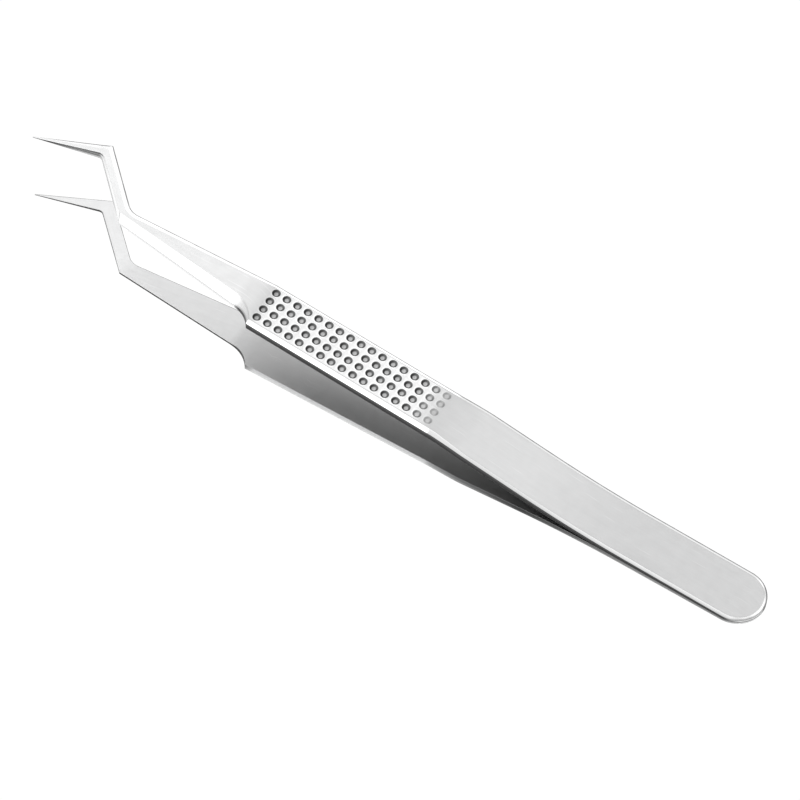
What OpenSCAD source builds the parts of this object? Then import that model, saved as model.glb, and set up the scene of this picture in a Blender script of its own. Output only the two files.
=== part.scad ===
// Angled precision tweezers: two mirror-image stainless blades, spot welded face to face at the rear.
// Each blade is flat in the tang, bows outwards in two gentle bends, carries a dimpled grip face,
// steps in to a slim forearm, turns sideways at the elbow and runs past the knee to a needle point.
// The part lies as it comes to rest, with the grip face of its lower arm flat on the plane z = 0.
// x runs from the rear end towards the points, and the necks lean towards -y.

/* [Tang] */
// Length from the rear end to the start of the straight grip
tang_len = 57.5; // [52:0.5:72]
// Width of the tang, which is also the diameter of its round end
tang_w = 9.4; // [8.6:0.1:11.4]
// Thickness of one blade at the rear end
tang_t = 0.65; // [0.5:0.05:0.85]
// Length over which the two blades lie face to face, where they are welded
weld_len = 22; // [15:0.5:28]
// Slope of the sprung stretch behind the grip, against the plane between the arms
spring_angle = 7.1; // [5.5:0.1:8.6]
// Radius of the bend where the blades part
rear_bend_r = 153; // [120:1:185]
// Radius of the bend where the grip starts
grip_bend_r = 81; // [60:1:100]

/* [Grip] */
// Slope of everything from the grip forward, against the plane between the arms
open_angle = 3.2; // [2.6:0.1:3.9]
// Thickness of one blade in the grip
grip_t = 1.5; // [1.2:0.05:1.8]
// Width of the grip at its rear end
grip_w = 8.95; // [8.5:0.05:10.8]
// How far the knee-side edge draws in along the grip
grip_taper = 0.15; // [0:0.05:0.3]
// Number of dimples along the grip
dimple_cols = 17; // [12:1:20]
// Number of dimples across the grip
dimple_rows = 4; // [2:1:4]
// Spacing of the dimples along the grip
dimple_pitch_x = 2; // [1.7:0.05:2.4]
// Spacing of the dimples across the grip
dimple_pitch_y = 1.83; // [1.55:0.01:1.85]
// Diameter of a dimple at its rim
dimple_d = 1.46; // [1.1:0.02:1.5]
// Diameter of a dimple at its floor
dimple_floor_d = 0.7; // [0.4:0.05:0.9]
// Depth of a dimple
dimple_depth = 0.32; // [0.24:0.01:0.5]
// How much shallower each of the last two columns at the rear is than the one before
dimple_fade = 0.1; // [0:0.01:0.1]
// Shift of the dimples towards the knee side, away from the wide bevel
dimple_shift = 0.2; // [0:0.05:0.25]

/* [Forearm] */
// Length from the front of the grip to the corner of the elbow
forearm_len = 27.1; // [22:0.1:33]
// Width of the forearm where it leaves the grip
forearm_w = 6.95; // [6.2:0.05:7.4]
// Width of the forearm abreast of the elbow's corner
forearm_end_w = 2.5; // [2.1:0.05:2.9]
// Distance of the elbow's corner from the middle line of the grip
elbow_offset = 0.25; // [0:0.05:0.5]
// Radius of the step from the grip in to the forearm
step_r = 4.7; // [3.9:0.1:5.6]
// Radius round the step of the edge where the flat face ends
step_face_r = 5.8; // [4.9:0.1:6.9]

/* [Neck and needle] */
// Sideways turn of the neck at the elbow
neck_angle = 42.4; // [36:0.1:50]
// Width of the neck
neck_w = 2.3; // [2:0.05:2.8]
// Length of the neck from the elbow to the knee
neck_len = 13.6; // [11.5:0.1:16.3]
// Radius inside the elbow
elbow_r = 3; // [2.4:0.1:3.6]
// Turn of the needle back across the line of the grip
needle_angle = 21.5; // [18:0.1:25.5]
// Length of the needle from the knee to the point
needle_len = 12.2; // [10.2:0.1:14.6]
// Radius inside the knee
knee_r = 0.9; // [0.7:0.05:1.1]
// Thickness of the blade at the knee
knee_t = 1.1; // [0.9:0.05:1.3]
// Width and thickness left at the point
point_size = 0.14; // [0.1:0.01:0.3]

/* [Ground edges] */
// Slope of the shallow bevels ground along the outer face
bevel_angle = 20; // [17:1:24]
// Depth of the bevel round the tang
tang_bevel = 0.2; // [0.15:0.01:0.25]
// Depth of the wide bevel along the step's side of the grip
wide_bevel = 0.3; // [0.25:0.01:0.34]
// Depth of the narrow bevel along the knee's side of the grip
narrow_bevel = 0.2; // [0.12:0.01:0.24]
// Depth of the bevel along the knee's side of the neck
neck_bevel = 0.3; // [0.2:0.01:0.36]
// Slope of the bevel along the step's side of the forearm
forearm_slope = 33; // [30:1:37]
// Slope of the steep edge ground along the front of the neck and needle
neck_slope = 60; // [50:1:70]
// Height left square below those two sloped edges
land = 0.45; // [0.3:0.01:0.5]

/* [Hidden] */
steel = [0.80, 0.81, 0.82];
$fn = 96;

// Distances of the outer dimples from the two ends of the grip
rear_margin = 1.95;
front_margin = 0.75;
// Straight pieces that stand for one bend in the side view
bend_steps = 16;
// How far the round bevel at the step laps into the straight one of the forearm
lap = 0.1;
// Number of tools that shape a blade
tools = 13;
// How far a cutter runs past what it cuts, and a height above the whole blade
over = 2;
reach = 12;

// Stations along the blade
grip_len = (dimple_cols - 1) * dimple_pitch_x + rear_margin + front_margin;
front_x = tang_len + grip_len;
elbow_x = front_x + forearm_len;
// The origin lies half way between two columns of dimples
origin_x = tang_len + rear_margin + (floor(dimple_cols / 2) - 0.5) * dimple_pitch_x;

function unit(v) = v / norm(v);
function dir(a) = [cos(a), sin(a)];
function left(v) = [-v.y, v.x];
// Where the line through p along u crosses the line through q along v
function crossing(p, u, q, v) = p + u * cross(q - p, v) / cross(u, v);
// Centre of a round of radius r in the corner at p, between directions u and v away from it
function round_centre(p, u, v, r) = p + unit(u + v) * r * norm(u + v) / abs(cross(u, v));
// Centre of a circle of radius r through p, which touches the line through q along u on its right
function step_centre(p, q, u, r) = let (
    v = q - left(u) * r - p,
    run = sqrt(pow(u * v, 2) - v * v + pow(r, 2)) - u * v
) q - left(u) * r + u * run;

// Side view: the inner face as points [x, z]
run_x = weld_len + rear_bend_r * sin(spring_angle);
run_z = rear_bend_r * (1 - cos(spring_angle));
bend_x = tang_len - grip_bend_r * (sin(spring_angle) - sin(open_angle));
bend_z = run_z + (bend_x - run_x) * tan(spring_angle);
inner = concat(
    [[-over, 0]],
    [for (i = [0:bend_steps]) let (a = spring_angle * i / bend_steps)
        [weld_len + rear_bend_r * sin(a), rear_bend_r * (1 - cos(a))]],
    [for (i = [0:bend_steps]) let (a = spring_angle + (open_angle - spring_angle) * i / bend_steps)
        [bend_x + grip_bend_r * (sin(spring_angle) - sin(a)),
            bend_z + grip_bend_r * (cos(a) - cos(spring_angle))]]
);
grip_z = inner[len(inner) - 1].y;

// Corners of the plan, with the knee towards +y
neck_dir = dir(neck_angle);
needle_dir = dir(-needle_angle);
elbow_out = [elbow_x, -elbow_offset];
knee_mid = elbow_out + left(neck_dir) * neck_w / 2 + neck_dir * neck_len;
point = knee_mid + needle_dir * needle_len;
mitre = unit(left(neck_dir) + left(needle_dir)) * neck_w / 2 / cos((neck_angle + needle_angle) / 2);
knee_out = knee_mid + mitre;
knee_in = knee_mid - mitre;
point_up = point + left(needle_dir) * point_size / 2;
point_low = point - left(needle_dir) * point_size / 2;
grip_top = [front_x, grip_w / 2 - grip_taper];
grip_low = [front_x, -grip_w / 2];
arm_low = grip_top - [0, forearm_w];
arm_low_dir = unit(elbow_out - arm_low);
arm_top_dir = unit(elbow_out + [0, forearm_end_w] - grip_top);
elbow_in = crossing(grip_top, arm_top_dir, elbow_out + left(neck_dir) * neck_w, neck_dir);

// Thickness of the blade over x, and the heights that follow from it
thickness = [[0, tang_t], [tang_len, grip_t], [front_x, grip_t], [knee_mid.x, knee_t], [point.x, point_size]];
stations = concat([for (p = inner) p.x], [front_x, knee_mid.x, point.x + over]);
function blade_t(x) = lookup(x, thickness);
function inner_z(x) = x < tang_len ? lookup(x, inner) : grip_z + (x - tang_len) * tan(open_angle);
function outer_z(x) = inner_z(x) + blade_t(x);

// Rounds of the plan, and the points where their arcs end
step_mid = step_centre(grip_low, arm_low, arm_low_dir, step_r);
step_end = step_mid + left(arm_low_dir) * step_r;
elbow_mid = round_centre(elbow_in, -arm_top_dir, neck_dir, elbow_r);
elbow_run = sqrt(pow(norm(elbow_mid - elbow_in), 2) - pow(elbow_r, 2));
elbow_a = elbow_in - arm_top_dir * elbow_run;
elbow_b = elbow_in + neck_dir * elbow_run;
needle_low_dir = unit(point_low - knee_in);
knee_round = round_centre(knee_in, -neck_dir, needle_low_dir, knee_r);
knee_run = sqrt(pow(norm(knee_round - knee_in), 2) - pow(knee_r, 2));
knee_a = knee_in - neck_dir * knee_run;
knee_b = knee_in + needle_low_dir * knee_run;

// Ground edges: their depth over x, and the arc that bounds the flat face round the step
knee_side = [[bend_x, tang_bevel], [tang_len, narrow_bevel]];
step_side = [[bend_x, tang_bevel], [tang_len, wide_bevel]];
slope_depth = blade_t(step_end.x) - land;
slope_w = slope_depth / tan(forearm_slope);
face_low = arm_low + left(arm_low_dir) * (slope_w + lap);
face_corner = grip_low + [0, wide_bevel / tan(bevel_angle)];
face_mid = step_centre(face_corner, face_low, arm_low_dir, step_face_r);
slope_start = crossing(face_mid, left(arm_low_dir), arm_low, arm_low_dir);

module plan() {
    difference() {
        union() {
            translate([tang_w / 2, 0]) circle(d = tang_w);
            polygon([
                [tang_w / 2, -tang_w / 2], [bend_x, -tang_w / 2], [tang_len, -grip_w / 2], grip_low,
                step_end, elbow_out, knee_a, knee_b, point_low, point_up, knee_out, elbow_b, elbow_a,
                grip_top, [tang_len, grip_w / 2], [bend_x, tang_w / 2], [tang_w / 2, tang_w / 2]
            ]);
        }
        translate(step_mid) circle(r = step_r);
        translate(elbow_mid) circle(r = elbow_r);
        translate(knee_round) circle(r = knee_r);
    }
}

module side_view() {
    rotate([90, 0, 0]) linear_extrude(height = 2 * reach, center = true)
        polygon(concat([for (x = stations) [x, inner_z(x)]],
            [for (i = [len(stations) - 1:-1:0]) [stations[i], outer_z(stations[i])]]));
}

// Everything above a bevel along the plan edge a to b, which has the blade on its left
module edge_cut(a, b, depth_a, depth_b, angle, before = 0, after = 0) {
    z_a = outer_z(a.x) - depth_a;
    z_b = outer_z(b.x) - depth_b;
    run = norm(b - a);
    translate([a.x, a.y, z_a])
        rotate([0, 0, atan2(b.y - a.y, b.x - a.x)])
            rotate([0, -atan2(z_b - z_a, run), 0])
                rotate([angle, 0, 0])
                    translate([-before, -over, 0])
                        cube([run + before + after, 2 * over, grip_t]);
}

// Everything above a bevel round an inside curve, which has radius r where the bevel is this deep
module round_cut(mid, r, depth, angle) {
    tilt = atan2(outer_z(mid.x + over) - outer_z(mid.x), over);
    grow = depth / tan(angle);
    translate([mid.x, mid.y, outer_z(mid.x) - depth]) rotate([0, -tilt, 0])
        translate([0, 0, -depth]) cylinder(h = 3 * depth, r1 = r - grow, r2 = r + 2 * grow);
}

function half_w(x, front) = lookup(x, [[bend_x, tang_w / 2], [tang_len, grip_w / 2], [front_x, front]]);

// Everything above the bevel along one side of the tang and grip, which follows the blade's bends
module long_cut(hand, depths, front) {
    end_x = front_x + over;
    xs = concat([tang_w / 2], [for (x = stations) if (x > tang_w / 2 && x <= front_x) x], [end_x]);
    edge = [for (x = xs)
        [x, cos(bevel_angle) * (outer_z(x) - lookup(x, depths) + half_w(x, front) * tan(bevel_angle))]];
    rotate([-hand * bevel_angle, 0, 0]) rotate([90, 0, 0])
        linear_extrude(height = 4 * reach, center = true)
            polygon(concat(edge, [[end_x, 2 * reach], [0, 2 * reach]]));
}

// Everything above the bevel round the rear end
module end_cut() {
    r = tang_w / 2;
    rim_z = outer_z(r) - tang_bevel;
    grow = tang_bevel / tan(bevel_angle);
    difference() {
        translate([-over, -tang_w, rim_z - tang_bevel]) cube([r + over, 2 * tang_w, reach]);
        translate([r, 0, rim_z - 2 * tang_bevel])
            cylinder(h = 4 * tang_bevel, r1 = r + 2 * grow, r2 = r - 2 * grow);
    }
}

module dimples() {
    grow = dimple_d - dimple_floor_d;
    translate([front_x, 0, outer_z(front_x)]) rotate([0, -open_angle, 0])
        for (i = [0:dimple_cols - 1], j = [0:dimple_rows - 1]) {
            depth = dimple_depth - dimple_fade * max(0, i - dimple_cols + 3);
            translate([-front_margin - i * dimple_pitch_x,
                dimple_shift + (j - (dimple_rows - 1) / 2) * dimple_pitch_y, -depth])
                cylinder(h = 2 * dimple_depth, d1 = dimple_floor_d, d2 = dimple_floor_d + 2 * grow);
        }
}

// The tools that shape the stamped and bent blade, in the order in which they are used
module cutter(n) {
    if (n == 1) long_cut(1, knee_side, grip_top.y);
    if (n == 2) long_cut(-1, step_side, grip_w / 2);
    if (n == 3) end_cut();
    if (n == 4) edge_cut(knee_out, elbow_b, neck_bevel, neck_bevel, bevel_angle, over, 0);
    if (n == 5) round_cut(elbow_mid, elbow_r, neck_bevel, bevel_angle);
    if (n == 6) edge_cut(elbow_a, grip_top, neck_bevel, narrow_bevel, bevel_angle, 0, 0);
    if (n == 7) round_cut(face_mid, step_face_r - slope_w, slope_depth, forearm_slope);
    if (n == 8) edge_cut(slope_start, elbow_out, slope_depth, blade_t(elbow_x) - land, forearm_slope, 0, over);
    if (n == 9) edge_cut(elbow_out, knee_a, blade_t(elbow_x) - land, knee_t - land, neck_slope, over, 0);
    if (n == 10) round_cut(knee_round, knee_r, knee_t - land, neck_slope);
    if (n == 11) edge_cut(knee_b, point_low, knee_t - land, 0, neck_slope, 0, over);
    if (n == 12) edge_cut(point_up, knee_out, 0, neck_bevel, bevel_angle, over, over);
    if (n == 13) dimples();
}

// One blade after the first n cuts, with its inner face towards z = 0 and its knee towards +y
module blade(n = tools) {
    if (n == 0) {
        intersection() {
            translate([0, 0, -over]) linear_extrude(height = reach + over) plan();
            side_view();
        }
    } else {
        difference() {
            blade(n - 1);
            cutter(n);
        }
    }
}

// From the blade's frame to the rest position, with the lower grip face level at z = 0
module at_rest() {
    rotate([0, -open_angle, 0]) translate([-origin_x, 0, outer_z(origin_x)]) children();
}

module upper_arm() {
    color(steel) at_rest() mirror([0, 1, 0]) blade();
}

module lower_arm() {
    color(steel) at_rest() rotate([180, 0, 0]) blade();
}

upper_arm();
lower_arm();
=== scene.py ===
# Angled precision tweezers: two ground and satin-finished stainless blades, welded at the rear.
# A blade is worked out in millimetres, lying flat: x runs from the rear end to the point, y towards
# the knee and z out of the gap between the blades. It goes to its place in metres at the end.
import math
from types import SimpleNamespace

import bmesh
import bpy
import numpy as np
from mathutils import Matrix, Vector


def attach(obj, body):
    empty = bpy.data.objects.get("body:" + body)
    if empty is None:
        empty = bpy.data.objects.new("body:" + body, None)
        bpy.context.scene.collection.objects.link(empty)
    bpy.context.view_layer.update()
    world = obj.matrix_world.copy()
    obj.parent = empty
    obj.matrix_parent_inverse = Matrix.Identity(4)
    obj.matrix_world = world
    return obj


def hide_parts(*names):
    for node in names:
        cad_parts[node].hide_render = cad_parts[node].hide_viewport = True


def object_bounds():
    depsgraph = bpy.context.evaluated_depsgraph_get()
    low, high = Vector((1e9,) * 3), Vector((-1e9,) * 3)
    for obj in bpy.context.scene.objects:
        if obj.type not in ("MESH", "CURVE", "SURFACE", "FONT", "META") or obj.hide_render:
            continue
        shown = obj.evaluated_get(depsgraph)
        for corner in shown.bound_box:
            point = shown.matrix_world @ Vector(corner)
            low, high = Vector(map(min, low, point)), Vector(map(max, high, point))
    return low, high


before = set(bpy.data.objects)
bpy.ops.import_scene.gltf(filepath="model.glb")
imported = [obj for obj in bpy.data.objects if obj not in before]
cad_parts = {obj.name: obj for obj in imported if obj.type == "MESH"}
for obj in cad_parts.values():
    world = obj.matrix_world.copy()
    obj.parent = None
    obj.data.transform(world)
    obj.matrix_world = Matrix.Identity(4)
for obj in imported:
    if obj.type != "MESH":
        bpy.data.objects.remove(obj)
cadLow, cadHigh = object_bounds()
metre = 0.001  # one millimetre
mergeWithin = 2e-8  # points nearer than this, in metres, are one
print("frame loaded:", sorted(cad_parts))


# The blade's form: lengths and radii in mm, angles in degrees
blade = {
    "tangLength": 57.5, "tangWidth": 9.4, "tangThick": 0.65, "weldLength": 22,
    "springAngle": 7.1, "rearBend": 153, "gripBend": 81, "openAngle": 3.2,
    "gripLength": 34.7, "gripThick": 1.5, "gripWidth": 8.95, "gripTaper": 0.15,
    "forearmLength": 27.1, "forearmWidth": 6.95, "forearmEndWidth": 2.5, "elbowOffset": 0.25,
    "stepRadius": 4.7, "stepFaceRadius": 5.8, "neckAngle": 42.4, "neckWidth": 2.3,
    "neckLength": 13.6, "elbowRadius": 3, "needleAngle": 21.5, "needleLength": 12.2,
    "kneeRadius": 0.9, "kneeThick": 1.1, "pointSize": 0.14, "noseLength": 0.08, "noseSteps": 5,
}
# The ground edges: slopes in degrees, depths and rounding radii in mm
grind = {
    "slope": 20, "tang": 0.2, "wide": 0.3, "narrow": 0.2, "neck": 0.3,
    "forearmSlope": 33, "neckSlope": 60, "land": 0.45, "edgeRound": 0.06, "creaseRound": 0.02,
}
# The columns of points on each side of a section: how far in from the edge the outer ones lie, in mm,
# with the share of the side's width where they stop, and the shares where the ones between them lie.
# A rounding takes no more than roundShare of a side.
skin = {
    "roundShare": 0.2, "rim": 0.26, "rimShare": 0.5, "bevelShare": 0.7,
    "innerRim": 0.05, "innerShare": 0.08, "innerFirst": 0.1, "innerLast": 0.9, "innerCount": 8,
}
# The dimples, in the stretch of that number: the rearmost columns grow shallower by "fade" each. The
# rings go from the middle out, as shares of the rim's radius and of the depth, with how much painted
# shade the dimple gets there: "dark" scales it, "fall" makes it paler in shallow dimples and "lean"
# adds more of it on the rear side.
pockets = {
    "columns": 17, "rows": 4, "pitchX": 2, "pitchY": 1.83, "shift": 0.2, "frontMargin": 0.75,
    "topMargin": 0.775, "radius": 0.73, "depth": 0.32, "fade": 0.1, "shallow": 2,
    "dark": 0.93, "fall": 1.5, "lean": 0.22, "stretch": 6,
    "rings": [(0, 1, 0.5), (0.2, 1, 0.5), (0.4, 1, 0.6), (0.47, 0.98, 0.8), (0.54, 0.88, 0.95),
              (0.66, 0.65, 1), (0.78, 0.42, 1), (0.9, 0.17, 0.9), (0.96, 0.045, 0.6), (1, 0, 0)],
}
# How much light each kind of surface returns, at places counted in stretches from the rear end
# (0 to 16). A slope's foot is its lower half, and the wall on the step's side has a line for each blade.
# These tones hold painted light and shade: dark walls, dark creases and edge lines, an inner face
# needle, and ground bevels and slopes bright or dim by how they catch the light. The wall on the
# real difference in polish and partly by painted shade copying how the light falls on each.
# step's side is lit and shaded differently on each blade. The face's stretches differ partly by a
# that darkens towards the rear where the gap between the blades closes, a dark slope at the knee and
tones = {
    "face": ([6.02, 6.11, 6.955, 6.985, 7.5, 9, 11, 13],
             [0.64, 0.9, 0.9, 0.68, 0.78, 0.86, 0.9, 0.94]),
    "crease": ([5.8, 6.05, 7, 9, 12], [0.58, 0.6, 0.64, 0.8, 0.9]),
    "bevel": ([0.5, 0.9, 5, 6], [0.95, 0.52, 0.52, 0.95]),
    "slope": ([0.5, 0.9, 5.8, 6.05, 12.6, 13.6], [0.95, 0.45, 0.45, 0.95, 0.95, 0.12]),
    "slopeFoot": ([0.5, 0.9, 5.8, 6.05, 13, 14, 15.3, 15.8],
                  [0.95, 0.45, 0.45, 0.95, 0.95, 0.85, 0.8, 0.12]),
    "inner": ([0, 4, 6, 6.6, 7, 9, 12], [0.26, 0.26, 0.31, 0.38, 0.54, 0.78, 0.92]),
    "kneeWall": ([8, 13], [0.3, 0.45]),
    "upper_arm": ([0.6, 0.95, 7.8, 8.1, 13, 14, 15.3, 15.8],
                  [0.9, 0.08, 0.1, 0.95, 0.9, 0.85, 0.8, 0.12]),
    "lower_arm": ([0.6, 0.95, 2, 3, 6, 6.95, 7.05, 12, 13],
                  [0.9, 0.48, 0.45, 0.12, 0.85, 0.85, 0.07, 0.09, 0.07]),
}
# How much of the painted dark line the edges on the step's side keep, at such places
stepRimShade = ([0.6, 0.9, 5, 6.95, 7.05, 7.8, 8.2, 11.6, 12.2],
            [0.6, 0.3, 0.05, 0.05, 0.5, 0.5, 0.05, 0.05, 0.6])
roughness = {
    "face": 0.34, "crease": 0.3, "bevel": 0.17, "slope": 0.17, "slopeFoot": 0.17,
    "inner": 0.36, "wall": 0.45, "pocket": 0.42,
}


def heading(degrees):
    return np.array([math.cos(math.radians(degrees)), math.sin(math.radians(degrees))])


def slopeOf(degrees):
    return math.tan(math.radians(degrees))


def unit(v):
    return v / np.linalg.norm(v)


def leftOf(v):
    return np.array([-v[1], v[0]])


def turn(u, v):
    return u[0] * v[1] - u[1] * v[0]


def crossing(p, u, q, v):
    # where the line through p along u meets the line through q along v
    return p + u * turn(q - p, v) / turn(u, v)


def cornerCentre(p, u, v, radius):
    # centre of a round in the corner at p, between the directions u and v that lead away from it
    return p + unit(u + v) * radius * np.linalg.norm(u + v) / abs(turn(u, v))


def stepCentre(p, q, u, radius):
    # centre of a circle through p that touches, on its right, the line through q along u
    v = q - leftOf(u) * radius - p
    run = math.sqrt((u @ v) ** 2 - v @ v + radius ** 2) - u @ v
    return q - leftOf(u) * radius + u * run


def innerHeight(x):
    # The inner face from the side: level, an arc whose slope grows to springAngle, a straight,
    # an arc back to openAngle and a straight. On an arc of radius r the slope's sine grows by
    # run / r, and the height by r times the change in its cosine.
    steep, shallow = math.radians(blade["springAngle"]), math.radians(blade["openAngle"])
    rearR, gripR = blade["rearBend"], blade["gripBend"]
    runX = blade["weldLength"] + rearR * math.sin(steep)
    runZ = rearR * (1 - math.cos(steep))
    bendX = blade["tangLength"] - gripR * (math.sin(steep) - math.sin(shallow))
    bendZ = runZ + (bendX - runX) * math.tan(steep)
    gripZ = bendZ + gripR * (math.cos(shallow) - math.cos(steep))
    rearSine = np.clip((x - blade["weldLength"]) / rearR, 0, math.sin(steep))
    gripSine = math.sin(steep) - np.clip((x - bendX) / gripR, 0, math.sin(steep) - math.sin(shallow))
    return np.select(
        [x < runX, x < bendX, x < blade["tangLength"]],
        [rearR * (1 - np.sqrt(1 - rearSine ** 2)),
         runZ + (x - runX) * math.tan(steep),
         bendZ + gripR * (np.sqrt(1 - gripSine ** 2) - math.cos(steep))],
        gripZ + (x - blade["tangLength"]) * math.tan(shallow))


def makePlan():
    # Every corner and round of the flat outline, and of the line where the flat face ends
    b, g, p = blade, grind, SimpleNamespace()
    p.frontX = b["tangLength"] + b["gripLength"]
    p.bendX = b["tangLength"] - b["gripBend"] * (
        math.sin(math.radians(b["springAngle"])) - math.sin(math.radians(b["openAngle"])))
    p.runX = b["weldLength"] + b["rearBend"] * math.sin(math.radians(b["springAngle"]))
    p.neckDir, p.needleDir = heading(b["neckAngle"]), heading(-b["needleAngle"])
    p.elbowOut = np.array([p.frontX + b["forearmLength"], -b["elbowOffset"]])
    kneeMid = p.elbowOut + leftOf(p.neckDir) * b["neckWidth"] / 2 + p.neckDir * b["neckLength"]
    p.point = kneeMid + p.needleDir * (b["needleLength"] - b["noseLength"])
    mitre = unit(leftOf(p.neckDir) + leftOf(p.needleDir)) * b["neckWidth"] / 2 / math.cos(
        math.radians(b["neckAngle"] + b["needleAngle"]) / 2)
    p.kneeOut, p.kneeIn = kneeMid + mitre, kneeMid - mitre
    p.thickX = [0, b["tangLength"], p.frontX, kneeMid[0], p.point[0]]
    p.thick = [b["tangThick"], b["gripThick"], b["gripThick"], b["kneeThick"], b["pointSize"]]
    p.pointTop = p.point + leftOf(p.needleDir) * b["pointSize"] / 2
    p.pointLow = p.point - leftOf(p.needleDir) * b["pointSize"] / 2

    # grip, step and forearm
    p.gripTop = np.array([p.frontX, b["gripWidth"] / 2 - b["gripTaper"]])
    p.gripLow = np.array([p.frontX, -b["gripWidth"] / 2])
    armLow = p.gripTop - [0, b["forearmWidth"]]
    p.lowDir = unit(p.elbowOut - armLow)
    p.topDir = unit(p.elbowOut + [0, b["forearmEndWidth"]] - p.gripTop)
    p.stepMid = stepCentre(p.gripLow, armLow, p.lowDir, b["stepRadius"])
    p.stepEnd = p.stepMid + leftOf(p.lowDir) * b["stepRadius"]
    slopeDepth = np.interp(p.stepEnd[0], p.thickX, p.thick) - g["land"]
    p.faceCorner = p.gripLow + [0, g["wide"] / slopeOf(g["slope"])]
    faceLow = armLow + leftOf(p.lowDir) * slopeDepth / slopeOf(g["forearmSlope"])
    p.faceMid = stepCentre(p.faceCorner, faceLow, p.lowDir, b["stepFaceRadius"])
    p.faceTurn = p.faceMid + unit(p.stepEnd - p.faceMid) * b["stepFaceRadius"]
    p.faceTouch = p.faceMid + leftOf(p.lowDir) * b["stepFaceRadius"]
    p.slopeStart = crossing(p.faceMid, leftOf(p.lowDir), armLow, p.lowDir)

    # elbow: the rounds inside it, and what lies abreast of their ends on the other side
    p.elbowIn = crossing(p.gripTop, p.topDir, p.elbowOut + leftOf(p.neckDir) * b["neckWidth"], p.neckDir)
    p.elbowMid = cornerCentre(p.elbowIn, -p.topDir, p.neckDir, b["elbowRadius"])
    run = math.sqrt(np.sum((p.elbowMid - p.elbowIn) ** 2) - b["elbowRadius"] ** 2)
    p.elbowA, p.elbowB = p.elbowIn - p.topDir * run, p.elbowIn + p.neckDir * run
    p.lowShareA = (p.elbowA - p.slopeStart) @ p.lowDir / np.linalg.norm(p.elbowOut - p.slopeStart)
    depth = np.interp(p.elbowOut[0], p.thickX, p.thick) - g["land"]
    p.faceElbow = crossing(
        p.elbowOut + leftOf(p.lowDir) * depth / slopeOf(g["forearmSlope"]), p.lowDir,
        p.elbowOut + leftOf(p.neckDir) * depth / slopeOf(g["neckSlope"]), p.neckDir)

    # knee: the round inside it, and where the flat face turns under it and over it
    lowDir = unit(p.pointLow - p.kneeIn)
    topDir = unit(p.pointTop - p.kneeOut)
    p.kneeMid = cornerCentre(p.kneeIn, -p.neckDir, lowDir, b["kneeRadius"])
    run = math.sqrt(np.sum((p.kneeMid - p.kneeIn) ** 2) - b["kneeRadius"] ** 2)
    p.kneeA, p.kneeB = p.kneeIn - p.neckDir * run, p.kneeIn + lowDir * run
    p.lowShareB = (p.elbowB - p.elbowOut) @ p.neckDir / np.linalg.norm(p.kneeA - p.elbowOut)
    slope = (b["kneeThick"] - g["land"]) / slopeOf(g["neckSlope"])
    p.faceKneeA, p.faceKneeB = (
        p.kneeMid + (q - p.kneeMid) * (1 + slope / b["kneeRadius"]) for q in (p.kneeA, p.kneeB))
    bevel = g["neck"] / slopeOf(g["slope"])
    p.faceKneeOut = crossing(p.kneeOut - leftOf(p.neckDir) * bevel, p.neckDir,
                             p.kneeOut - leftOf(topDir) * bevel, topDir)
    p.topKneeA = p.kneeOut - p.neckDir * ((p.kneeOut - p.kneeA) @ p.neckDir)
    p.topKneeB = p.kneeOut + topDir * ((p.kneeB - p.kneeOut) @ topDir)
    return p


plan = makePlan()


def outerHeight(x):
    return innerHeight(x) + np.interp(x, plan.thickX, plan.thick)


def mix(p, q, share):
    return p + (q - p) * share


def line(p, q):
    # From p to q straight: p, and the share u of the way
    return lambda u: p + (q - p) * u[:, None]


def arc(centre, p, q):
    # From p to q round the centre: the angle goes evenly the shorter way, and so does the radius
    start, end = p - centre, q - centre
    angle = math.atan2(start[1], start[0])
    swing = math.atan2(turn(start, end), start @ end)
    radius = np.linalg.norm(start), np.linalg.norm(end)

    def along(u):
        a, r = angle + swing * u, mix(radius[0], radius[1], u)
        return centre + np.stack([r * np.cos(a), r * np.sin(a)], 1)
    return along


def pocketStations():
    # Along the grip, each dimple has a cell of 2 x rings steps; cell goes from -1 to 1 across it
    rings = len(pockets["rings"])
    steps = np.arange(2 * rings) / rings - 1
    centre = pockets["frontMargin"] + pockets["pitchX"] * np.arange(pockets["columns"])[::-1]
    half = np.where((centre[:, None] == pockets["frontMargin"]) & (steps > 0),
                    pockets["frontMargin"], pockets["pitchX"] / 2)
    along = (centre[:, None] - steps * half).ravel()
    return along, np.tile(steps, len(centre)), np.repeat(centre, len(steps)), half.ravel()


def pocketColumns():
    # The same across the grip, from the knee side to the step's side
    rings, rows = len(pockets["rings"]), pockets["rows"]
    steps = 1 - np.arange(2 * rings) / rings
    centre = pockets["shift"] + (np.arange(rows)[::-1] - (rows - 1) / 2) * pockets["pitchY"]
    half = np.where((centre[:, None] == centre[0]) & (steps > 0),
                    pockets["topMargin"], pockets["pitchY"] / 2)
    y = np.append((centre[:, None] + steps * half).ravel(), centre[-1] - pockets["pitchY"] / 2)
    cell = np.append(np.tile(steps, rows), -1)
    middle = np.append(np.repeat(centre, len(steps)), centre[-1])
    return y, cell, middle, np.append(half.ravel(), half[-1, -1])


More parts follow.
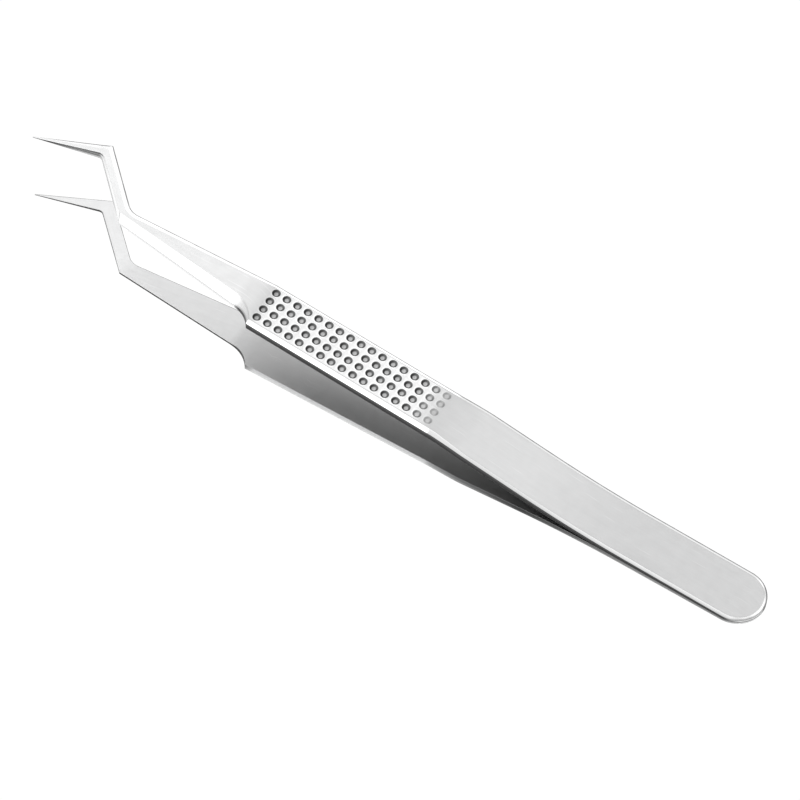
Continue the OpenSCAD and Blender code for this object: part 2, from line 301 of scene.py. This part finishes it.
def makeRails():
    # The blade's 16 stretches. Each gives the shares of its length where a section stands, four curves
    # in plan (step side's edge, where the flat face starts, where it ends, knee side's edge) and how
    # far the two edges lie below the outer face at its start and end.
    b, g, p = blade, grind, plan
    r, end = b["tangWidth"] / 2, np.array([0.0, 0.0])
    bevel, wide, narrow, neck = (g[k] / slopeOf(g["slope"]) for k in ("tang", "wide", "narrow", "neck"))
    centre = np.array([r, 0])
    grip = b["gripWidth"] / 2

    def across(x, low, faceLow, faceTop, top):
        return [np.array([x, y]) for y in (low, faceLow, faceTop, top)]

    tang = [across(x, -r, bevel - r, r - bevel, r) for x in (r, b["weldLength"], p.runX, p.bendX)]
    rear = across(b["tangLength"], -grip, wide - grip, grip - narrow, grip)
    along = pocketStations()[0]
    cellX = p.frontX - along[0] * math.cos(math.radians(b["openAngle"]))
    front = [p.gripLow, p.faceCorner, p.gripTop - [0, narrow], p.gripTop]
    share = (cellX - b["tangLength"]) / b["gripLength"]
    cells = [mix(s, e, share) for s, e in zip(rear, front)]
    cellShare = (along[0] - along) / along[0]

    def over(x, drop):
        # the knee side of the forearm at x, and where the flat face ends there
        edge = p.gripTop + p.topDir * (x - p.gripTop[0]) / p.topDir[0]
        return edge - leftOf(p.topDir) * drop / slopeOf(g["slope"]), edge

    def dropAt(x):
        # how deep the knee side's bevel is at x on the forearm
        return mix(g["narrow"], g["neck"], (x - p.frontX) / (p.elbowA[0] - p.frontX))

    def depthAt(q):
        # how deep the step side's slope is at q
        return float(np.interp(q[0], p.thickX, p.thick)) - g["land"]

    dropEnd, dropStart = dropAt(p.stepEnd[0]), dropAt(p.slopeStart[0])
    turnTop, startTop = over(p.stepEnd[0], dropEnd), over(p.slopeStart[0], dropStart)
    elbowTop = over(p.elbowA[0], g["neck"])
    lowA, faceA = mix(p.slopeStart, p.elbowOut, p.lowShareA), mix(p.faceTouch, p.faceElbow, p.lowShareA)
    lowB, faceB = mix(p.elbowOut, p.kneeA, p.lowShareB), mix(p.faceElbow, p.faceKneeA, p.lowShareB)
    bend = unit(p.elbowIn - p.elbowMid)
    elbowArc = [p.elbowMid + bend * (b["elbowRadius"] + w) for w in (neck, 0)]
    outB = p.elbowMid + unit(p.elbowB - p.elbowMid) * (b["elbowRadius"] + neck)
    inner = unit(p.kneeIn - p.kneeMid)
    kneeArc = [p.kneeMid + inner * np.linalg.norm(q - p.kneeMid) for q in (p.kneeA, p.faceKneeA)]
    topA = p.topKneeA - leftOf(p.neckDir) * neck
    topB = p.topKneeB - leftOf(unit(p.pointTop - p.kneeOut)) * neck
    kneeDrop = b["kneeThick"] - g["land"]
    elbowDrops = [depthAt(q) for q in (p.slopeStart, lowA, p.elbowOut, lowB)]

    def even(count):
        return np.arange(count) / count

    def lines(start, finish):
        return [line(s, e) for s, e in zip(start, finish)]

    def rounds(middle, start, finish):
        return [arc(middle, s, e) for s, e in zip(start, finish)]

    rearFace = end + [bevel, 0]
    thin = (g["tang"],) * 2
    return [
        (even(30), rounds(centre, [end, rearFace, rearFace, end], tang[0]), thin, thin),
        (even(10), lines(tang[0], tang[1]), thin, thin),
        (even(24), lines(tang[1], tang[2]), thin, thin),
        (even(8), lines(tang[2], tang[3]), thin, thin),
        (even(14), lines(tang[3], rear), (g["tang"], g["wide"]), (g["tang"], g["narrow"])),
        (even(5), lines(rear, cells), (g["wide"],) * 2, (g["narrow"],) * 2),
        (cellShare, lines(cells, front), (g["wide"],) * 2, (g["narrow"],) * 2),
        (even(26), [arc(p.stepMid, p.gripLow, p.stepEnd), arc(p.faceMid, p.faceCorner, p.faceTurn),
                    *lines(front[2:], turnTop)], None, (g["narrow"], dropEnd)),
        (even(8), [line(p.stepEnd, p.slopeStart), arc(p.faceMid, p.faceTurn, p.faceTouch),
                   *lines(turnTop, startTop)], None, (dropEnd, dropStart)),
        (even(18), lines([p.slopeStart, p.faceTouch, *startTop], [lowA, faceA, *elbowTop]),
         elbowDrops[:2], (dropStart, g["neck"])),
        (even(12), lines([lowA, faceA], [p.elbowOut, p.faceElbow]) + rounds(p.elbowMid, elbowTop, elbowArc),
         elbowDrops[1:3], (g["neck"],) * 2),
        (even(12), lines([p.elbowOut, p.faceElbow], [lowB, faceB])
         + rounds(p.elbowMid, elbowArc, [outB, p.elbowB]), elbowDrops[2:], (g["neck"],) * 2),
        (even(12), lines([lowB, faceB, outB, p.elbowB], [p.kneeA, p.faceKneeA, topA, p.topKneeA]),
         (elbowDrops[3], kneeDrop), (g["neck"],) * 2),
        (even(9), rounds(p.kneeMid, [p.kneeA, p.faceKneeA], kneeArc)
         + lines([topA, p.topKneeA], [p.faceKneeOut, p.kneeOut]), (kneeDrop,) * 2, (g["neck"],) * 2),
        (even(9), rounds(p.kneeMid, kneeArc, [p.kneeB, p.faceKneeB])
         + lines([p.faceKneeOut, p.kneeOut], [topB, p.topKneeB]), (kneeDrop,) * 2, (g["neck"],) * 2),
        (np.linspace(0, 1, 31), lines([p.kneeB, p.faceKneeB, topB, p.topKneeB],
                                      [p.pointLow, p.pointLow, p.pointTop, p.pointTop]),
         (kneeDrop, 0), (g["neck"], 0)),
    ]


def conicDrop(edge):
    # Round the step the ground slope is a cone about faceMid, and at the corner the grip's bevel
    cone = slopeOf(grind["forearmSlope"]) * (
        blade["stepFaceRadius"] - np.linalg.norm(edge - plan.faceMid, axis=1))
    flat = grind["wide"] - slopeOf(grind["slope"]) * (edge[:, 1] - plan.gripLow[1])
    deepest = np.interp(edge[:, 0], plan.thickX, plan.thick) - grind["land"]
    return np.minimum(np.maximum(cone, flat), deepest)


def sectionCorners():
    # The six corners of the section at each station, as an array of stations x corners x 3, in the
    # order: inner face from the step's side to the knee's side, then back over the outer face.
    # Also each station's place, counted in stretches.
    rows, places = [], []
    for number, (share, rails, lowDrop, topDrop) in enumerate(makeRails()):
        places.append(number + share)
        low, faceLow, faceTop, top = (rail(share) for rail in rails)
        lowDrop = conicDrop(low) if lowDrop is None else mix(*lowDrop, share)
        topDrop = mix(*topDrop, share)
        heights = [innerHeight(low[:, 0]), innerHeight(top[:, 0]), outerHeight(top[:, 0]) - topDrop,
                   outerHeight(faceTop[:, 0]), outerHeight(faceLow[:, 0]), outerHeight(low[:, 0]) - lowDrop]
        rows.append(np.stack([np.column_stack([xy, z]) for xy, z in zip(
            (low, top, top, faceTop, faceLow, low), heights)], 1))
    return np.concatenate(rows), np.concatenate(places)


def roundedRing(corners, faceShares):
    # The closed section with its corners rounded: a corner becomes the middle of the quadratic curve
    # between two points at the rounding radius from it, with a holding point at twice that. Returns
    # the points, and for each column the kind of surface and whether it takes an outer edge's painted dark
    # line.
    sideNames = ("inner", "kneeWall", "bevel", "face", "slope", "stepWall")
    footNames = ("inner", "kneeWall", "bevel", "face", "slopeFoot", "stepWall")
    creases = (sideNames.index("face"), sideNames.index("slope"))
    radii = [grind["creaseRound"] if k in creases else grind["edgeRound"] for k in range(6)]
    points, kinds, rimShade = [], [], []

    def step(fromCorner, toCorner, radius):
        side = toCorner - fromCorner
        length = np.linalg.norm(side, axis=-1, keepdims=True)
        return side / np.maximum(length, 1e-9) * np.minimum(radius, skin["roundShare"] * length)

    def columnShares(side, width):
        # where a side's own columns lie, as shares of its width
        if side == "face":
            return faceShares
        if side == "inner":
            rim = np.minimum(skin["innerRim"] / width, skin["innerShare"])
            even = np.linspace(skin["innerFirst"], skin["innerLast"], skin["innerCount"])
            return np.column_stack([rim, *np.outer(even, np.ones(len(width))), 1 - rim])
        if side in ("bevel", "slope"):
            rim = np.minimum(skin["rim"] / width, skin["rimShare"])
            shares = np.column_stack([rim, np.full(len(width), skin["bevelShare"])])
            return shares if side == "bevel" else 1 - shares[:, ::-1]
        return np.full((len(width), 1), 0.5)

    for k in range(6):
        here, before, after = corners[:, k], corners[:, k - 1], corners[:, (k + 1) % 6]
        back, on = step(here, before, radii[k]), step(here, after, radii[k])
        if k in creases:
            points += [here + 2 * back, here + back, here + on, here + 2 * on]
            kinds += ["crease"] * 4
            rimShade += [0] * 4
        else:
            points += [here + 2 * back, here + back, here + (back + on) / 4, here + on, here + 2 * on]
            kinds += [footNames[k - 1]] * 2 + [sideNames[k]] * 3
            # an edge takes in the end of the wall below it and the ground side above it
            rimShade += [k in (0, 5), 1, 1, 1, k in (1, 2)]
        start, finish = here + 2 * on, after + 2 * step(after, here, radii[(k + 1) % 6])
        width = np.maximum(np.linalg.norm(finish - start, axis=1), 1e-9)
        shares = columnShares(sideNames[k], width)
        inside = start[:, None] + (finish - start)[:, None] * shares[..., None]
        points += list(inside.transpose(1, 0, 2))
        kinds += [sideNames[k]] * (inside.shape[1] - 1) + [footNames[k]]
        rimShade += [0] * inside.shape[1]
    return np.stack(points, 1), np.array(kinds), np.array(rimShade)


def sinkPockets(points, firstStation, firstColumn):
    # Draws the square cells of the grid into rings and sinks them. With m the larger of the two cell
    # coordinates, a point goes to the radius of ring m at the angle that its place on the square has
    # round it, and down by that ring's depth along the face's normal.
    along, cellX, middleX, halfX = pocketStations()
    _, cellY, middleY, halfY = pocketColumns()
    a, c = np.meshgrid(cellX, cellY, indexing="ij")
    m = np.maximum(np.abs(a), np.abs(c))
    safe = np.where(m > 0, m, 1)
    wide = np.abs(a) >= np.abs(c)
    quarter = np.where(wide, c * np.sign(a), -a * np.sign(c)) / safe * math.pi / 4
    angle = np.where(wide, quarter + math.pi * (a < 0), quarter + math.pi / 2 + math.pi * (c < 0))
    rings = np.array(pockets["rings"])
    levels = np.arange(len(rings)) / len(rings)
    radius = np.interp(m, levels, rings[:, 0]) * pockets["radius"]
    border = m > levels[-1] + 1e-6
    runX = np.where(border, a * halfX[:, None], radius * np.cos(angle))
    runY = np.where(border, c * halfY, radius * np.sin(angle))
    number = np.repeat(np.arange(pockets["columns"]), 2 * len(rings))
    deep = pockets["depth"] - pockets["fade"] * np.maximum(0, pockets["shallow"] - number)
    sink = np.interp(m, np.append(levels, 1), np.append(rings[:, 1], 0)) * deep[:, None]
    # painted shade in the dimple: by ring, paler in the shallow ones, deeper on the rear side
    dark = np.interp(m, np.append(levels, 1), np.append(rings[:, 2], 0))
    dark = dark * (deep[:, None] / pockets["depth"]) ** (pockets["fall"] - dark)
    dark *= 1 - pockets["lean"] * (1 - np.cos(angle)) / 2
    tilt = math.radians(blade["openAngle"])
    back = middleX[:, None] - runX
    grid = (slice(firstStation, firstStation + len(along)), slice(firstColumn, firstColumn + len(cellY)))
    points[grid] = np.stack([
        plan.frontX - back * math.cos(tilt) + sink * math.sin(tilt),
        middleY + runY,
        outerHeight(plan.frontX) - back * math.sin(tilt) - sink * math.cos(tilt)], -1)
    mask = np.zeros(points.shape[:2])
    mask[grid] = dark
    return mask


def bladeSurface():
    # The whole skin of one blade as a grid: sections along it, columns round it
    corners, places = sectionCorners()
    x = np.clip(corners[:, 3, 0], blade["tangLength"], plan.frontX)
    narrow = grind["narrow"] / slopeOf(grind["slope"])
    wide = grind["wide"] / slopeOf(grind["slope"])
    taper = blade["gripTaper"] * (x - blade["tangLength"]) / blade["gripLength"]
    faceTop = blade["gripWidth"] / 2 - narrow - taper
    faceLow = wide - blade["gripWidth"] / 2
    hold = 2 * grind["creaseRound"]
    cellY = pocketColumns()[0]
    shares = (faceTop[:, None] - hold - cellY) / (faceTop[:, None] - faceLow - 2 * hold)
    points, kinds, rimShade = roundedRing(corners, shares)
    firstColumn = int(np.argmax(kinds == "face"))
    pocket = sinkPockets(points, int(np.searchsorted(places, pockets["stretch"])), firstColumn)

    # the needle's nose: the last section drawn in round its middle, as a quarter of an ellipse
    angles = np.linspace(0, math.pi / 2, blade["noseSteps"] + 1)[1:]
    last, middle = points[-1], points[-1].mean(0)
    ahead = np.array([*plan.needleDir, slopeOf(blade["openAngle"])]) * blade["noseLength"]
    nose = middle + (last - middle) * np.cos(angles)[:, None, None] + ahead * np.sin(angles)[:, None, None]
    nose[-1] = nose[-1].mean(0)
    points = np.concatenate([points, nose])
    pocket = np.concatenate([pocket, np.zeros((len(nose), points.shape[1]))])
    places = np.append(places, np.full(len(nose), places[-1]))

    thick = np.interp(points[..., 0], plan.thickX, plan.thick)
    rise = (points[..., 2] - innerHeight(points[..., 0])) / thick
    return points, places, kinds, rimShade, pocket, np.clip(rise, 0, 1)


def finishOf(node, surface):
    # What the material reads at each point: by the kind of surface and its place, with painted shade in the
    # dimples and along the edges
    places, kinds, rimShade, pocket, rise = surface[1:]
    tone = {kind: np.interp(places, *tones.get(kind, tones[node])) for kind in set(kinds)}
    rough = np.array([roughness.get(kind, roughness["wall"]) for kind in kinds])
    # the edges on the step's side, whose painted dark line fades by place: the first columns and the last
    # ones
    stepSide = np.append(np.arange(5), np.arange(len(kinds) // 2, len(kinds)))
    fade = np.interp(places, *stepRimShade)[:, None]
    values = {
        "tone": np.stack([tone[kind] for kind in kinds], 1) * (1 - pockets["dark"] * pocket),
        "rough": mix(rough, roughness["pocket"], pocket),
        "ground": np.isin(kinds, ("bevel", "slope", "slopeFoot")),
        "wall": np.isin(kinds, ("kneeWall", "stepWall")),
        "rim": rimShade * np.where(np.isin(np.arange(len(kinds)), stepSide), fade, 1),
        "rise": rise,
    }
    return {key: np.broadcast_to(value, pocket.shape).astype(np.float32) for key, value in values.items()}


def placeAtRest(points, outwards):
    # Into the rest position, where the lower grip face is level: the blade is laid over the mid-plane,
    # or under it, lifted, and turned about y by openAngle
    originX = plan.frontX - pockets["frontMargin"] - pockets["pitchX"] * (pockets["columns"] // 2 + 0.5)
    tilt = math.radians(blade["openAngle"])
    x, z = points[..., 0] - originX, outwards * points[..., 2] + float(outerHeight(np.array(originX)))
    return np.stack([x * math.cos(tilt) - z * math.sin(tilt), -points[..., 1],
                     x * math.sin(tilt) + z * math.cos(tilt)], -1) * metre


def bladePiece(name, node, outwards, surface, material):
    # The grid of quads in its place, with the attributes that its material reads
    points = surface[0]
    stations, columns = points.shape[:2]
    placed = np.clip(placeAtRest(points, outwards), cadLow, cadHigh)
    here = np.arange(stations - 1)[:, None] * columns + np.arange(columns)
    across = np.arange(stations - 1)[:, None] * columns + (np.arange(columns) + 1) % columns
    quads = np.stack([here, across, across + columns, here + columns], -1).reshape(-1, 4)
    # each blade's own length and girth in mm, for the direction of the brushing
    middle = points.mean(1)
    length = np.append(0, np.cumsum(np.linalg.norm(np.diff(middle, axis=0), axis=1)))
    girth = np.cumsum(np.linalg.norm(np.diff(points, axis=1, append=points[:, :1]), axis=-1), axis=1)
    girth = np.concatenate([np.zeros((stations, 1)), girth], 1)
    girth -= girth[:, :1] + girth[:, [columns // 2]]
    uv = np.stack([np.broadcast_to(length[:, None], girth.shape), girth], -1)
    corner = np.stack([uv[:-1, :-1], uv[:-1, 1:], uv[1:, 1:], uv[1:, :-1]], 2).reshape(-1, 4, 2)
    if outwards > 0:
        quads, corner = quads[:, ::-1], corner[:, ::-1]
    mesh = bpy.data.meshes.new(name)
    mesh.from_pydata(placed.reshape(-1, 3).tolist(), [], quads.tolist())
    mesh.uv_layers.new(name="along").data.foreach_set("uv", corner.astype(np.float32).ravel())
    for key, value in finishOf(node, surface).items():
        mesh.attributes.new(key, "FLOAT", "POINT").data.foreach_set("value", value.ravel())
    work = bmesh.new()
    work.from_mesh(mesh)
    bmesh.ops.remove_doubles(work, verts=work.verts, dist=mergeWithin)
    volume = work.calc_volume(signed=True) / metre ** 3
    openEdges = sum(1 for e in work.edges if len(e.link_faces) != 2)
    work.to_mesh(mesh)
    work.free()
    mesh.shade_smooth()
    mesh.materials.append(material)
    piece = bpy.data.objects.new(name, mesh)
    bpy.context.scene.collection.objects.link(piece)
    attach(piece, "root")
    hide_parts(node)
    print(f"{name}: {len(mesh.polygons)} faces, {volume:.1f} mm3, {openEdges} open edges")


# The marks on the steel: repeats per mm along and across the blade, and how strongly they show;
# then the limits that tone and roughness are kept to, and the steel's tint
marks = {
    "brushed": {"along": 0.35, "across": 14, "tone": 0.08, "rough": 0.10, "depth": 1.5e-6},
    "streaks": {"along": 0.08, "across": 1.6, "tone": 0.07, "rough": 0.05},
    "mottle": {"along": 0.55, "across": 0.55, "tone": 0.08, "rough": 0.06},
    "grinding": {"along": 16, "across": 0.8, "tone": 0.12, "rough": 0.08, "depth": 1.2e-6},
    "scratch": {"along": 0.12, "across": 5, "from": 0.69, "to": 0.74, "tone": 0.14},
    # The next two are painted shade, not marks on the steel: a dark line along the rounded edges, and a
    # darker lower part on each wall.
    "rim": {"dark": 0.88, "from": -0.12, "to": 0.12, "least": 0.85, "tone": 0.03},
    "wallShade": {"dark": 0.6, "place": 0.5, "blur": 0.06, "ragged": 0.5},
    "limits": {"tone": (0.02, 0.97), "rough": (0.08, 0.7)},
    "tint": (0.998, 1.0, 1.002),
}


def addNode(tree, kind, inputs, **options):
    # Adds a node; an input is a number, a vector or another node's output
    node = tree.nodes.new("ShaderNode" + kind)
    for key, value in options.items():
        setattr(node, key, value)
    for key, value in inputs.items():
        if isinstance(value, bpy.types.NodeSocket):
            tree.links.new(value, node.inputs[key])
        else:
            node.inputs[key].default_value = value
    return node.outputs


def steelMaterial():
    material = bpy.data.materials.new("satinSteel")
    material.use_nodes = True
    tree = material.node_tree
    shader = tree.nodes["Principled BSDF"]
    uv = addNode(tree, "UVMap", {}, uv_map="along")[0]

    def maths(operation, a, b, c=0.0):
        return addNode(tree, "Math", {0: a, 1: b, 2: c}, operation=operation)[0]

    def attribute(name):
        return addNode(tree, "Attribute", {}, attribute_name=name)["Fac"]

    def blend(share, a, b):
        return addNode(tree, "Mix", {"Factor": share, "A": a, "B": b}, data_type="FLOAT")["Result"]

    def ramp(value, low, high, start=0.0, end=1.0):
        return addNode(tree, "MapRange", {"Value": value, "From Min": low, "From Max": high,
                                          "To Min": start, "To Max": end},
                       interpolation_type="SMOOTHSTEP")["Result"]

    def within(value, least, most):
        return addNode(tree, "Clamp", {"Value": value, "Min": least, "Max": most})[0]

    def grain(mark, detail=2.0):
        # noise drawn out along or across the blade, from -0.5 to 0.5
        scaled = addNode(tree, "Mapping", {"Vector": uv, "Scale": (mark["along"], mark["across"], 1)})[0]
        noise = addNode(tree, "TexNoise", {"Vector": scaled, "Scale": 1.0, "Detail": detail})
        return maths("SUBTRACT", noise["Fac"], 0.5)

    ground, wall, tone, rough = (attribute(key) for key in ("ground", "wall", "tone", "rough"))
    brushed, streaks, mottle = (grain(marks[key]) for key in ("brushed", "streaks", "mottle"))
    grinding = grain(marks["grinding"])

    # the walls: painted shade on the lower part of each, with a ragged line between; the lighter a
    # wall is, the less of this it shows
    wallShade = marks["wallShade"]
    ragged = maths("MULTIPLY_ADD", streaks, wallShade["ragged"], attribute("rise"))
    wallFootShade = ramp(ragged, wallShade["place"] - wallShade["blur"], wallShade["place"] + wallShade["blur"],
                1 - wallShade["dark"], 1.0)
    tone = blend(wall, tone, maths("MULTIPLY", tone, blend(tone, wallFootShade, 1.0)))

    # brushing lies along the blade, and across it on the ground bevels
    across = maths("MULTIPLY", grinding, ground)
    lengthways = maths("MULTIPLY", brushed, maths("SUBTRACT", 1.0, ground))
    change = maths("MULTIPLY", lengthways, marks["brushed"]["tone"])
    change = maths("MULTIPLY_ADD", across, marks["grinding"]["tone"], change)
    roughChange = maths("MULTIPLY", lengthways, marks["brushed"]["rough"])
    roughChange = maths("MULTIPLY_ADD", across, marks["grinding"]["rough"], roughChange)
    for key, value in (("streaks", streaks), ("mottle", mottle)):
        change = maths("MULTIPLY_ADD", value, marks[key]["tone"], change)
        roughChange = maths("MULTIPLY_ADD", value, marks[key]["rough"], roughChange)

    # thin handling scratches, and a dark line painted as shade where the edges are rounded, fainter in
    # places
    scratch, edge = marks["scratch"], marks["rim"]
    scratches = ramp(maths("ADD", grain(scratch, 1.0), 0.5),
                     scratch["from"], scratch["to"], 0.0, scratch["tone"])
    change = maths("ADD", change, scratches)
    tone = maths("MULTIPLY", tone, maths("ADD", change, 1.0))
    rim = maths("MULTIPLY", attribute("rim"), ramp(mottle, edge["from"], edge["to"], 1.0, edge["least"]))
    tone = blend(maths("MULTIPLY", rim, edge["dark"]), tone, edge["tone"])
    tone = within(tone, *marks["limits"]["tone"])
    rough = within(maths("ADD", rough, roughChange), *marks["limits"]["rough"])
    red, green, blue = (maths("MULTIPLY", tone, share) for share in marks["tint"])
    colour = addNode(tree, "CombineColor", {"Red": red, "Green": green, "Blue": blue})[0]

    height = maths("MULTIPLY", lengthways, marks["brushed"]["depth"])
    height = maths("MULTIPLY_ADD", across, marks["grinding"]["depth"], height)
    bump = addNode(tree, "Bump", {"Height": height, "Strength": 1.0, "Distance": 1.0})["Normal"]
    tree.links.new(colour, shader.inputs["Base Color"])
    tree.links.new(rough, shader.inputs["Roughness"])
    tree.links.new(bump, shader.inputs["Normal"])
    shader.inputs["Metallic"].default_value = 1
    print("steel: ", len(tree.nodes), "nodes")
    return material


surface = bladeSurface()
steel = steelMaterial()
bladePiece("upperBlade", "upper_arm", 1, surface, steel)
bladePiece("lowerBlade", "lower_arm", -1, surface, steel)


# Camera: where it looks, its direction and roll in degrees, its distance and what it sees between, in mm
view = {"target": (-7.949, -1.140, 4.658), "azimuth": 213.44, "elevation": 54.274, "roll": -0.433,
        "distance": 750, "lens": 215.906, "sensor": 36, "near": 50, "far": 20000}


def makeCamera():
    azimuth, elevation, roll = (math.radians(view[k]) for k in ("azimuth", "elevation", "roll"))
    back = Vector((math.sin(azimuth) * math.cos(elevation), -math.cos(azimuth) * math.cos(elevation),
                   math.sin(elevation)))
    right = Vector((math.cos(azimuth), math.sin(azimuth), 0))
    up = back.cross(right)
    right, up = right * math.cos(roll) + up * math.sin(roll), up * math.cos(roll) - right * math.sin(roll)
    data = bpy.data.cameras.new("camera")
    data.lens, data.sensor_width = view["lens"], view["sensor"]
    data.clip_start, data.clip_end = view["near"] * metre, view["far"] * metre
    camera = bpy.data.objects.new("camera", data)
    bpy.context.scene.collection.objects.link(camera)
    place = (Vector(view["target"]) + back * view["distance"]) * metre
    camera.matrix_world = Matrix.Translation(place) @ Matrix((right, up, back)).transposed().to_4x4()
    bpy.context.scene.camera = camera


makeCamera()


# The stage: a white sheet, and a tent of light round it. The tent's brightness goes from "low" at
# the horizon to "high" overhead; each card lies in a direction, is full within its inner angle in
# degrees, fades to its outer one and adds its strength, or takes it away.
stage = {
    "half": 3.0, "floor": 0.85, "rough": 0.8, "glow": 0.2, "white": 1.03,
    "low": 0.35, "high": 0.95, "lowest": -0.1, "highest": 0.9, "least": 0.04,
    "cards": {
        "overhead": ((0.20, 0.30, 0.93), 15, 28, 0.9),
        "behind": ((0.20, -0.91, 0.36), 14, 26, 1.1),
        "rear": ((-0.32, -0.50, 0.80), 8, 22, 0.6),
        "darkRoom": ((-0.30, 0.95, 0.05), 18, 40, -0.15),
    },
}


def makeFloor():
    half = stage["half"]
    mesh = bpy.data.meshes.new("floor")
    corners = [(-half, -half, 0), (half, -half, 0), (half, half, 0), (-half, half, 0)]
    mesh.from_pydata(corners, [], [(0, 1, 2, 3)])
    floor = bpy.data.objects.new("floor", mesh)
    bpy.context.scene.collection.objects.link(floor)
    material = bpy.data.materials.new("paleFloor")
    material.use_nodes = True
    tree = material.node_tree
    shader = tree.nodes["Principled BSDF"]
    shader.inputs["Base Color"].default_value = (stage["floor"],) * 3 + (1,)
    shader.inputs["Emission Color"].default_value = (1, 1, 1, 1)
    shader.inputs["Emission Strength"].default_value = stage["glow"]
    shader.inputs["Roughness"].default_value = stage["rough"]
    shader.inputs["Specular IOR Level"].default_value = 0
    # the camera itself sees the sheet as plain white
    plain = addNode(tree, "Emission", {"Strength": stage["white"]})[0]
    seen = addNode(tree, "LightPath", {})["Is Camera Ray"]
    both = addNode(tree, "MixShader", {0: seen, 1: shader.outputs[0], 2: plain})[0]
    tree.links.new(both, tree.nodes["Material Output"].inputs["Surface"])
    mesh.materials.append(material)
    print("floor laid")


def makeLight():
    world = bpy.data.worlds.new("studio")
    bpy.context.scene.world = world
    world.use_nodes = True
    tree = world.node_tree
    direction = addNode(tree, "TexCoord", {})["Generated"]
    height = addNode(tree, "SeparateXYZ", {0: direction})["Z"]
    bright = addNode(tree, "MapRange", {
        "Value": height, "From Min": stage["lowest"], "From Max": stage["highest"],
        "To Min": stage["low"], "To Max": stage["high"]})["Result"]
    for towards, inner, outer, strength in stage["cards"].values():
        across = addNode(tree, "VectorMath", {0: direction, 1: Vector(towards).normalized()},
                         operation="DOT_PRODUCT")["Value"]
        card = addNode(tree, "MapRange", {
            "Value": across, "From Min": math.cos(math.radians(outer)),
            "From Max": math.cos(math.radians(inner)), "To Min": 0.0, "To Max": strength},
            interpolation_type="SMOOTHSTEP")["Result"]
        bright = addNode(tree, "Math", {0: bright, 1: card}, operation="ADD")[0]
    bright = addNode(tree, "Math", {0: bright, 1: stage["least"]}, operation="MAXIMUM")[0]
    # the camera itself sees plain white behind the sheet
    seen = addNode(tree, "LightPath", {})["Is Camera Ray"]
    bright = addNode(tree, "Mix", {"Factor": seen, "A": bright, "B": stage["white"]},
                     data_type="FLOAT")["Result"]
    tree.links.new(bright, tree.nodes["Background"].inputs["Color"])
    print("lit by", len(stage["cards"]), "cards")


makeFloor()
makeLight()
bpy.context.scene.view_settings.view_transform = "Standard"
